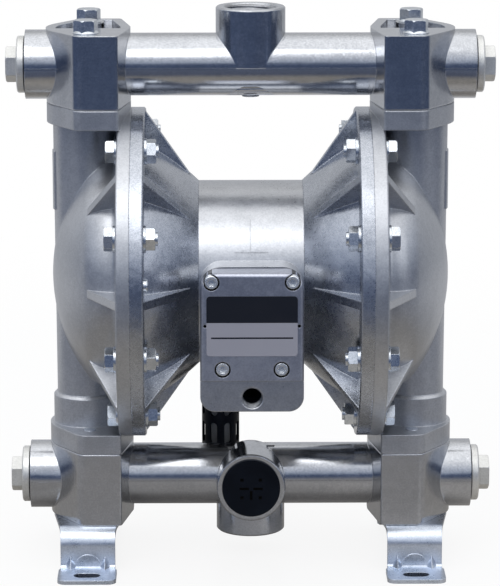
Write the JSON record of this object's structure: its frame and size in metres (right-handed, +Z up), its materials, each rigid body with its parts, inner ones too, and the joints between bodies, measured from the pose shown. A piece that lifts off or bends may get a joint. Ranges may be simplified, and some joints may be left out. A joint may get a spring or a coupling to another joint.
{
  "type": "air operated double diaphragm pump",
  "caption": "Air operated diaphragm pump with ribbed domed chambers clamped to a barrel body, liquid columns, top and bottom pipe manifolds, ball valves and bent sheet feet.",
  "frame": {"origin": "on the floor under the feet, midway between the four foot slots", "axes": "+X along the diaphragm shaft, to the right seen from the valve cover; -Y is the front with the valve cover; +Z up, out of the outlet port"},
  "size_m": [0.2966, 0.202, 0.3413],
  "materials": {
    "cast_aluminium": "tumbled casting",
    "zinc_sheet": "bright zinc plate",
    "zinc_fastener": "zinc plate",
    "plug_metal": "satin plate",
    "turned_aluminium": "machined",
    "stainless": "ground",
    "rubber": "matte",
    "white_plastic": "smooth",
    "bronze": "machined",
    "black_plastic": "moulded",
    "filter_felt": "felt",
    "label_metal": "satin print"
  },
  "bodies": {
    "pump": {"center_body": "cast_aluminium", "fluid_chamber_left": "cast_aluminium", "fluid_chamber_right": "cast_aluminium", "air_chamber_left": "cast_aluminium", "air_chamber_right": "cast_aluminium", "top_manifold": "cast_aluminium", "bottom_manifold": "cast_aluminium", "manifold_plugs": "plug_metal", "plug_rings": "rubber", "top_manifold_bolts": "zinc_fastener", "bottom_manifold_bolts": "zinc_fastener", "foot_left": "zinc_sheet", "foot_right": "zinc_sheet", "valve_cover": "cast_aluminium", "cover_gasket": "rubber", "cover_screws": "zinc_fastener", "label_plate": "label_metal", "valve_block": "turned_aluminium", "valve_end_plates": "white_plastic", "muffler": "black_plastic", "muffler_element": "filter_felt", "chamber_bolts": "zinc_fastener", "chamber_nuts": "zinc_fastener", "chamber_washers": "zinc_fastener", "earth_screw": "zinc_fastener", "diaphragm_left": "rubber", "diaphragm_right": "rubber", "shaft_bushes": "bronze", "shaft_seals": "rubber", "pilot_bushes": "bronze", "inlet_seats": "stainless", "inlet_seat_rings": "rubber", "outlet_seats": "stainless", "outlet_seat_rings": "rubber"},
    "diaphragm_rod": {"shaft": "stainless", "shaft_nuts": "zinc_fastener", "inner_plate_left": "turned_aluminium", "inner_plate_right": "turned_aluminium", "outer_plate_left": "turned_aluminium", "outer_plate_right": "turned_aluminium"},
    "pilot": {"pilot_rod": "stainless"},
    "spool": {"valve_spool": "stainless"},
    "front_cap": {"port_cap": "black_plastic"},
    "inlet_ball_left": {"inlet_ball_left": "white_plastic"},
    "inlet_ball_right": {"inlet_ball_right": "white_plastic"},
    "outlet_ball_left": {"outlet_ball_left": "white_plastic"},
    "outlet_ball_right": {"outlet_ball_right": "white_plastic"}
  },
  "joints": [
    {"name": "shaft_slide", "type": "slide", "parent": "pump", "child": "diaphragm_rod", "axis": [1, 0, 0], "range_m": [-0.01, 0.01], "deforming": ["diaphragm_left", "diaphragm_right"]},
    {"name": "pilot_slide", "type": "slide", "parent": "pump", "child": "pilot", "axis": [1, 0, 0], "range_m": [-0.005, 0.005]},
    {"name": "spool_slide", "type": "slide", "parent": "pump", "child": "spool", "axis": [1, 0, 0], "range_m": [-0.005, 0.005]},
    {"name": "front_cap_pull", "type": "slide", "parent": "pump", "child": "front_cap", "axis": [0, -1, 0], "range_m": [0, 0.025]},
    {"name": "inlet_ball_lift_left", "type": "slide", "parent": "pump", "child": "inlet_ball_left", "axis": [0, 0, 1], "range_m": [0, 0.008]},
    {"name": "inlet_ball_lift_right", "type": "slide", "parent": "pump", "child": "inlet_ball_right", "axis": [0, 0, 1], "range_m": [0, 0.008]},
    {"name": "outlet_ball_lift_left", "type": "slide", "parent": "pump", "child": "outlet_ball_left", "axis": [0, 0, 1], "range_m": [0, 0.008]},
    {"name": "outlet_ball_lift_right", "type": "slide", "parent": "pump", "child": "outlet_ball_right", "axis": [0, 0, 1], "range_m": [0, 0.008]}
  ],
  "couplings": [
    {"joint": "pilot_slide", "follows": "shaft_slide", "ratio": 0.5}
  ]
}
